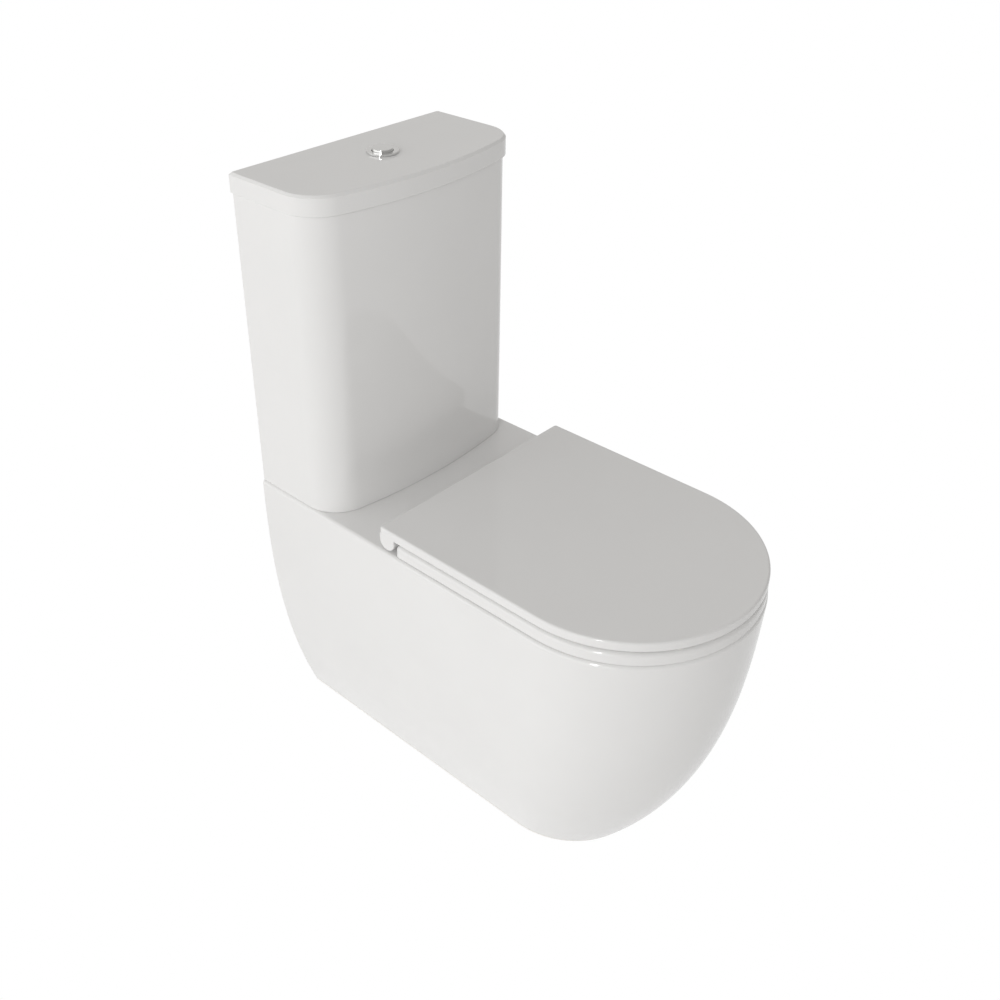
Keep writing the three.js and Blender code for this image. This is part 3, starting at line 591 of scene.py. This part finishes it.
def make_cistern():
    low, high = TANK_LOW.z, TANK_HIGH.z
    foot = [(low + TANK_FOOT_EDGE - up, inward) for inward, up in rounding(TANK_FOOT_EDGE, 5)][::-1]
    outer = [(z, 0.0) for z in np.linspace(low + TANK_FOOT_EDGE, high - TANK_RIM_EDGE, 12)[1:-1]]
    rim = [(high - TANK_RIM_EDGE + up, inward) for inward, up in rounding(TANK_RIM_EDGE, 4)]
    inner_rim = [(z, TANK_WALL - inset) for z, inset in rim[::-1]]
    corner = 0.008
    inner = [(z, TANK_WALL) for z in np.linspace(high - TANK_RIM_EDGE, low + TANK_FLOOR + corner, 12)[1:-1]]
    floor = [(low + TANK_FLOOR + corner - up, TANK_WALL + inward) for inward, up in rounding(corner, 6)]
    rings = [
        level(tank_outline(z, inset, rear=WALL - inset if z > high - 0.01 or inset >= TANK_WALL else WALL), z)
        for z, inset in foot + outer + rim + inner_rim + inner + floor
    ]
    tank = skin("cistern", rings)
    below, above = low - PAST, low + TANK_FLOOR + PAST
    holes = [
        drum("valve_hole", 0.034, 0, VALVE_Y, below, above),
        drum("inlet_hole", 0.0115, INLET_X, VALVE_Y, below, above, 40),
        *(drum("bolt_hole", 0.006, side * BOLT_X, VALVE_Y, below, above, 32) for side in (-1, 1)),
    ]
    return finished(cut(tank, *holes), "cistern")


make_cistern()

# %% [markdown]
# ## The cistern lid
# A heavy flat casting that caps the tank. Its top edge is a narrow chamfer whose two borders are barely
# rounded, which is why it shows as a separate band. The underside is hollowed to leave a plate and a
# border, and two lugs keep it from sliding off.

# %% Make the cistern lid
LID_LOW, LID_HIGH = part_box("cistern_lid")
LID_SHAPE = {"half": LID_HIGH.x, "front": -0.175, "bow": 0.600}
LID_CHAMFER = 0.0032
LID_PLATE = 0.012
LID_BORDER = 0.014


def lid_outline(inset):
    """The lid's outline drawn inwards all round, its straight back included."""
    return bowed(**LID_SHAPE, inset=inset, rear=WALL - inset)


def make_cistern_lid():
    low, top = TANK_HIGH.z + 0.0003, LID_HIGH.z
    soft = 0.0003
    lip = 0.0012
    corner = 0.006
    outside = [(low + lip - up, inward) for inward, up in rounding(lip, 4)][::-1]
    outside += [(top - LID_CHAMFER - soft, 0.0), (top - LID_CHAMFER - 0.3 * soft, 0.1 * soft)]
    outside += [(top - LID_CHAMFER + 0.5 * soft, 0.6 * soft)]
    outside += [(top - 0.6 * soft, LID_CHAMFER - 0.5 * soft), (top - 0.1 * soft, LID_CHAMFER + 0.3 * soft)]
    outside += [(top, LID_CHAMFER + soft)]
    recess = [(low + lip - up, LID_BORDER - inward) for inward, up in rounding(lip, 4)]
    plate = top - LID_PLATE
    recess_top = [(plate - corner + up, LID_BORDER + inward) for inward, up in rounding(corner, 5)]
    rings = [level(lid_outline(inset), z) for z, inset in recess_top[::-1] + recess[::-1] + outside]
    lid = skin("cistern_lid", rings)
    foot, lug_x, half_thick, half_length = LID_LOW.z, 0.161, 0.003, 0.025
    lugs = []
    for side in (-1, 1):
        x = side * lug_x
        profile = arc(0, 0, 1, 0, 2 * np.pi, 32)[:-1]
        stadium = np.column_stack([
            x + half_thick * np.clip(1.4 * profile[:, 0], -1, 1),
            VALVE_Y + (half_length - half_thick) * np.sign(profile[:, 1]) + half_thick * profile[:, 1],
        ])
        lugs.append(skin("lug", [level(stadium, foot), level(stadium, plate + 0.001)]))
    join(lid, *lugs)
    hole = drum("button_hole", 0.0185, 0, VALVE_Y, plate - PAST, top + PAST, 96)
    return finished(cut(lid, hole), "cistern_lid", edge_angle=math.radians(50))


make_cistern_lid()

# %% [markdown]
# ## Turned pieces
# The button and its collar are round. Each is a half profile of radius and height points turned about an
# upright axis. Sharp corners of the profile are replaced by true arcs: the arc through a corner is a
# rational curve whose middle weight is the sine of half the corner's angle.

# %% Turn a profile
def softened_corners(points, radius, closed, steps=4):
    """Replaces each corner of an outline by an arc of the given radius, or less where a side is short."""
    points = np.asarray(points, float)
    back = np.roll(points, 1, axis=0) - points
    ahead = np.roll(points, -1, axis=0) - points
    back_length = np.linalg.norm(back, axis=1, keepdims=True)
    ahead_length = np.linalg.norm(ahead, axis=1, keepdims=True)
    back, ahead = back / back_length, ahead / ahead_length
    half_angle = np.arccos(np.clip((back * ahead).sum(axis=1, keepdims=True), -1, 1)) / 2
    room = 0.45 * np.minimum(back_length, ahead_length)
    reach = np.minimum(radius / np.tan(half_angle), room)
    weight = np.sin(half_angle)[:, None]
    t = np.linspace(0, 1, steps + 1)[None, :, None]
    start, end, corner = (points + back * reach)[:, None], (points + ahead * reach)[:, None], points[:, None]
    above = (1 - t) ** 2 * start + 2 * weight * t * (1 - t) * corner + t**2 * end
    below = (1 - t) ** 2 + 2 * weight * t * (1 - t) + t**2
    arcs = above / below
    if closed:
        return arcs.reshape(-1, 2)
    return np.vstack([points[0], arcs[1:-1].reshape(-1, 2), points[-1]])


def turned(name, profile, x, y, radius=0.0005, closed=False, sides=64, wave=None):
    """Turns radius and height points about an upright axis at x, y; wave scales the radius with the angle."""
    profile = softened_corners(profile, radius, closed)
    turn = np.linspace(0, 2 * np.pi, sides, endpoint=False)
    scale = np.ones(sides) if wave is None else wave(turn)
    r = profile[:, :1] * scale
    z = np.broadcast_to(profile[:, 1:], r.shape)
    return skin(name, np.dstack([x + r * np.cos(turn), y + r * np.sin(turn), z]), loop=closed)


# %% Make the push button
LID_TOP = LID_HIGH.z
BEZEL_LOW, BEZEL_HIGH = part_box("button_bezel")
BUTTON_LOW, BUTTON_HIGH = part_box("flush_button")


def make_button_bezel():
    """A collar: a flange on the lid, a sleeve down through it, and a ledge that carries the spring."""
    flange = BEZEL_HIGH.x
    sleeve, bore, eye = 0.017, 0.0142, 0.006
    low, top = BEZEL_LOW.z, BEZEL_HIGH.z
    ledge = low + 0.003
    profile = [
        (eye, low), (sleeve, low), (sleeve, LID_TOP + 0.0003), (flange, LID_TOP + 0.0003),
        (flange, top), (bore + 0.0004, top), (bore, top - 0.0004),
        (bore, ledge), (eye, ledge),
    ]
    finished(turned("button_bezel", profile, 0, VALVE_Y, 0.00025, closed=True, sides=96), "button_bezel")


def make_flush_button():
    """A short plug, flat on top with a crisp edge. The profile runs from the foot's middle to the top's."""
    radius, low, top = BUTTON_HIGH.x, BUTTON_LOW.z, BUTTON_HIGH.z
    profile = [(0.002, low), (radius, low), (radius, top), (0.002, top)]
    finished(turned("flush_button", profile, 0, VALVE_Y, 0.00025, sides=96), "flush_button")


make_button_bezel()
make_flush_button()

# %% [markdown]
# ## The seat and its cover
# Both are D-shaped. The ring's surface starts under its outer edge, comes up and over a soft rim, and goes
# down through the oval hole, back to where it began. Each point of the hole lies in the same direction
# from the hole's middle as its partner on the outside, so the grid never folds over itself. The D's long
# straight sides are divided into short steps first, which keeps the back of the hole oval. The underside
# hangs slightly lower than the CAD's, so only a thin dark line is left above the pan.

# %% Make the seat ring
SEAT_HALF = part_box("seat_ring")[1].x
SEAT_MIDDLE_Y = WALL - 0.5024
RING_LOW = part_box("seat_ring")[0]
RING_TOP, RING_REAR = 0.432, WALL - 0.268
RING_EDGE, RING_LIP = 0.0064, 0.0006
RING_DROP = 0.0008
RING_STEP = 0.008
BUFFERS = [f"ring_buffer_{end}_{side}" for end in ("front", "rear") for side in ("left", "right")]
HOLE_Y, HOLE_HALF_X, HOLE_HALF_Y = WALL - 0.487, 0.112, 0.145
POST_REACH = 0.013
KNUCKLE_WIDTH = 0.013
KNUCKLE_RADIUS = 0.0065
CHEEK_REACH = POST_REACH + KNUCKLE_WIDTH + 0.001


def divided(outline, parts):
    """Splits each side of an outline into its own number of equal steps."""
    start = np.repeat(outline, parts, axis=0)
    step = np.repeat((np.roll(outline, -1, axis=0) - outline) / parts[:, None], parts, axis=0)
    place = np.arange(parts.sum()) - np.repeat(np.cumsum(parts) - parts, parts)
    return start + step * place[:, None]


def hole_outline(outside, grow):
    """The oval hole, each point in the direction of its partner on the outside."""
    angle = np.arctan2((outside[:, 1] - HOLE_Y) / HOLE_HALF_Y, outside[:, 0] / HOLE_HALF_X)
    half_x, half_y = HOLE_HALF_X + grow, HOLE_HALF_Y + grow
    return np.column_stack([half_x * np.cos(angle), HOLE_Y + half_y * np.sin(angle)])


def sideways_bar(name, outline, x0, x1, edge=0.0008, steps=3):
    """An outline of y, z points carried along X. Its ends are rounded by drawing the outline further in."""
    along = np.roll(outline, -1, axis=0) - np.roll(outline, 1, axis=0)
    along /= np.linalg.norm(along, axis=1, keepdims=True)
    inward = np.column_stack([-along[:, 1], along[:, 0]])
    ends = list(rounding(edge, steps))
    rings = [(x0 + edge - out, inset) for inset, out in ends[::-1]]
    rings += [(x1 - edge + out, inset) for inset, out in ends]
    across = [(np.full(len(outline), x), outline + inset * inward) for x, inset in rings]
    return skin(name, [np.column_stack(ring) for ring in across])


def hinge_bore(reach, middle_x):
    """The pin's hole through a hinge."""
    circle = arc(HINGE_Y, HINGE_Z, 0.0038, 0, 2 * np.pi, 32)[:-1]
    return sideways_bar("pin_bore", circle, middle_x - reach, middle_x + reach, edge=0.0001, steps=1)


def make_seat_ring():
    """The top edge is a quarter of an oval, 1.2 times as wide as it is high, both outside and at the hole."""
    under, top = RING_LOW.z - RING_DROP, RING_TOP

    def corners(inset):
        return round_front(SEAT_HALF - inset, RING_REAR - inset, SEAT_MIDDLE_Y, max(0.0065 - inset, 0.0006))

    sides = np.linalg.norm(np.roll(corners(0), -1, axis=0) - corners(0), axis=1)
    parts = np.ceil(sides / RING_STEP).astype(int)

    def outside(inset):
        return divided(corners(inset), parts)

    edge = [(top - RING_EDGE + up, 1.2 * inward) for inward, up in rounding(RING_EDGE, 10)]
    lip = [(under + RING_LIP - up, inward) for inward, up in rounding(RING_LIP, 4)]
    rings = [level(outside(inset), z) for z, inset in lip[::-1] + edge]
    rings += [level(hole_outline(outside(0), grow), z) for z, grow in edge[::-1] + lip]
    ring = skin("seat_ring", rings, loop=True)
    lumps = []
    for side in (-1, 1):
        for away in (-1, 1):
            near = side * HINGE_X + away * POST_REACH
            x0, x1 = sorted((near, near + away * KNUCKLE_WIDTH))
            round_end = arc(HINGE_Y, HINGE_Z, KNUCKLE_RADIUS, -np.pi / 2, np.pi / 2, 16)
            front = RING_REAR - 0.007
            tongue = np.vstack([round_end, [[front, RING_TOP - 0.0004], [front, HINGE_Z - 0.005]]])
            lumps.append(sideways_bar("knuckle", tongue, x0, x1, 0.0006))
    join(ring, *lumps)
    cut(ring, *(hinge_bore(CHEEK_REACH + 0.006, side * HINGE_X) for side in (-1, 1)))
    for name in BUFFERS:
        low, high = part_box(name)
        pocket = drum("pocket", (high.x - low.x) / 2 + 0.0003, (low.x + high.x) / 2, (low.y + high.y) / 2,
                      under - 0.002, high.z + 0.0003, 32)
        cut(ring, pocket)
    return finished(ring, "seat_ring")


make_seat_ring()

# %% [markdown]
# The cover is a thin plate with a hollow underside. Along its back it turns down into a round roll that
# hides the hinges, cut away around each post. Its upper rim is rounded more than its lower one.

# %% Make the seat cover
COVER_UNDER, COVER_TOP = 0.436, 0.4484
COVER_REAR = WALL - 0.2398
ROLL_RADIUS = 0.013
COVER_BORDER = 0.016
COVER_REAR_BORDER = 0.045
COVER_PLATE = 0.0064


def cover_outline(inset, rear=None, corner=0.004):
    rear = COVER_REAR - inset if rear is None else rear
    return round_front(SEAT_HALF - inset, rear, SEAT_MIDDLE_Y, max(corner - 0.9 * inset, 0.0008))


def make_seat_cover():
    rim, lip = 0.003, 0.0012
    plate = [(COVER_UNDER + lip - up, inward) for inward, up in rounding(lip, 4)][::-1]
    plate += [(COVER_TOP - rim + up, inward) for inward, up in rounding(rim, 7)]
    cover = skin("seat_lid", [level(cover_outline(inset), z) for z, inset in plate])
    hollow_top = COVER_TOP - COVER_PLATE
    soft = 0.003
    hollow = [(COVER_UNDER - 0.001, 0.0), (hollow_top - soft, 0.0)]
    hollow += [(hollow_top - soft + up, inward) for inward, up in rounding(soft, 5)][1:]
    rear = COVER_REAR - COVER_REAR_BORDER
    levels = [level(cover_outline(COVER_BORDER + inset, rear - inset), z) for z, inset in hollow]
    cut(cover, skin("hollow", levels))
    lower = arc(HINGE_Y, HINGE_Z, ROLL_RADIUS, -np.pi, 0, 40)
    lower[-1] = lower[-1] - [0.0001, 0]
    inside = COVER_UNDER + 0.003
    roll = np.vstack([lower, [[HINGE_Y + ROLL_RADIUS - 0.0001, inside], [HINGE_Y - ROLL_RADIUS, inside]]])
    join(cover, sideways_bar("roll", roll, -SEAT_HALF, SEAT_HALF, edge=0.0015, steps=5))
    for side in (-1, 1):
        middle = side * HINGE_X
        low, high = HINGE_Z - 0.020, COVER_TOP - 0.0059
        ends = HINGE_Y - 0.024, COVER_REAR + 0.005
        notch = block("notch", middle - CHEEK_REACH, middle + CHEEK_REACH, *ends, low, high)
        cut(cover, notch, hinge_bore(CHEEK_REACH + 0.0063, middle))
    return finished(cover, "seat_lid")


make_seat_cover()

# %% [markdown]
# ## The fittings
# The remaining nodes already have the right shape, but their edges are razor sharp. A copy of each is
# merged and its flat areas joined, then a Bevel modifier rounds the edges as moulding and casting would.
# The CAD node itself is left alone.

# %% Soften the edges of a copy
def eased_copy(node, width=0.0004):
    """A copy of a CAD node with its doubles merged, its flat facets joined and its edges rounded."""
    mesh = frame["nodes"][node].data.copy()
    work = bmesh.new()
    work.from_mesh(mesh)
    bmesh.ops.remove_doubles(work, verts=work.verts, dist=0.000002)
    bmesh.ops.dissolve_limit(work, angle_limit=math.radians(1), verts=work.verts, edges=work.edges)
    work.to_mesh(mesh)
    work.free()
    made = bpy.data.objects.new("eased_" + node, mesh)
    bpy.context.scene.collection.objects.link(made)
    edges = made.modifiers.new("rounded_edges", "BEVEL")
    edges.width = width
    edges.segments = 2
    edges.limit_method = "ANGLE"
    edges.angle_limit = math.radians(40)
    edges.use_clamp_overlap = True
    return finished(made, node)


MADE = {"pan", "cistern", "cistern_lid", "button_bezel", "flush_button", "seat_ring", "seat_lid"}
for node in sorted(set(RIDES) - MADE):
    copy = eased_copy(node)
    if node == "button_spring":
        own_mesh(copy)

# %% [markdown]
# ## Light, floor and camera
# White ceramic looks best under a broad soft surround with one tall narrow light on the left. The strip
# light lights the left faces and leaves small glints on the rims, and the surround keeps everything else
# a quiet grey. The floor is plain and pale. It shows white to the camera and nearly white in reflections.

# %% Floor
FLOOR_GLOW = 0.06
FLOOR_WHITE = 1.0
FLOOR_SHEEN = 0.75


def make_floor():
    """A wide white sheet. It glows a little, as a lit table does, and shows white to the camera."""
    floor = drum("floor", 30.0, 0, 0, -0.02, -0.0002, 128)
    material, shader, place = new_finish("pale_floor", (0.8, 0.8, 0.8), 0.9)
    feed(shader, "Base Color", noise(place, 2.0).blend((0.8, 0.8, 0.8, 1), (0.82, 0.82, 0.82, 1)))
    shader.inputs["Emission Color"].default_value = (1.0, 0.99, 0.98, 1)
    shader.inputs["Emission Strength"].default_value = FLOOR_GLOW
    tree = material.node_tree
    output = tree.nodes["Material Output"]
    lit = Signal(tree, shader.outputs[0])
    path = tree.nodes.new("ShaderNodeLightPath").outputs
    share = Signal(tree, path["Is Camera Ray"]) * FLOOR_WHITE
    share = share + Signal(tree, path["Is Glossy Ray"]) * FLOOR_SHEEN
    white = place.node("Emission", {"Color": (1, 1, 1, 1), "Strength": 1.0})
    shown = place.node("MixShader", {0: share, 1: lit, 2: white})
    tree.links.new(shown.socket, output.inputs["Surface"])
    floor.data.materials.append(material)
    return floor


# %% World
SURROUND = {"all_round": 0.442, "left": 1.22, "behind": 0.22}
LOBES = {
    "left": ((-1, 0, 0), 0.0, 0.7),
    "behind": ((0.62, 0.73, 0.29), 0.5, 0.95),
}
LEFT_BORDER = (-0.574, 0.819, 0)


def make_world():
    """A soft surround: one grey all round, and lobes that rise towards a direction. The camera sees white.

    The left lobe stops at an upright border, like the edge of a wall of light, and fades with height."""
    world = bpy.data.worlds.new("studio")
    bpy.context.scene.world = world
    world.use_nodes = True
    tree = world.node_tree
    background = tree.nodes["Background"]
    way = Signal(tree, tree.nodes.new("ShaderNodeTexCoord").outputs["Generated"])

    def facing(towards, low, high):
        towards = np.array(towards) / np.linalg.norm(towards)
        ends = {0: way, 1: towards.tolist()}
        return way.node("VectorMath", ends, output="Value", operation="DOT_PRODUCT").smooth(low, high)

    lobes = {lobe: facing(*shape) for lobe, shape in LOBES.items()}
    lobes["left"] = lobes["left"] * facing(LEFT_BORDER, -0.02, 0.04) * (1 - facing((0, 0, 1), 0.2, 0.8))
    strength = SURROUND["all_round"]
    for lobe, share in lobes.items():
        strength = share * SURROUND[lobe] + strength
    seen = Signal(tree, tree.nodes.new("ShaderNodeLightPath").outputs["Is Camera Ray"])
    feed(background, "Strength", seen * (1 - strength) + strength)
    feed(background, "Color", lobes["left"].blend((1.0, 0.985, 0.965, 1), (1.0, 1.0, 0.995, 1)))


make_floor()
make_world()


# %% Strip light
def make_softbox(name, azimuth, elevation, distance, width, height, watts):
    """A tall area light that looks at the middle of the object from a compass angle and a height angle."""
    lamp = bpy.data.lights.new(name, "AREA")
    lamp.shape = "RECTANGLE"
    lamp.size = width
    lamp.size_y = height
    lamp.energy = watts
    made = bpy.data.objects.new(name, lamp)
    bpy.context.scene.collection.objects.link(made)
    azimuth, elevation = math.radians(azimuth), math.radians(elevation)
    flat = math.cos(elevation)
    place = distance * np.array([flat * math.cos(azimuth), flat * math.sin(azimuth), math.sin(elevation)])
    made.location = place + [0, 0, 0.4]
    made.rotation_euler = (math.pi / 2 - elevation, 0, azimuth + math.pi / 2)
    return made


make_softbox("strip_light", -158, 24, 4.0, 0.36, 2.2, 28.0)

# %% Camera
def make_camera():
    lens = bpy.data.cameras.new("camera")
    lens.sensor_width = 36.0
    lens.lens = 43.10
    lens.shift_x = 0.025
    lens.shift_y = -0.0666
    camera = bpy.data.objects.new("camera", lens)
    camera.location = (-1.0106, -0.8484, 1.3443)
    camera.rotation_euler = (math.radians(90 - 31.038), 0, math.radians(-46.920))
    bpy.context.scene.collection.objects.link(camera)
    bpy.context.scene.camera = camera


make_camera()
bpy.context.scene.view_settings.view_transform = "Standard"
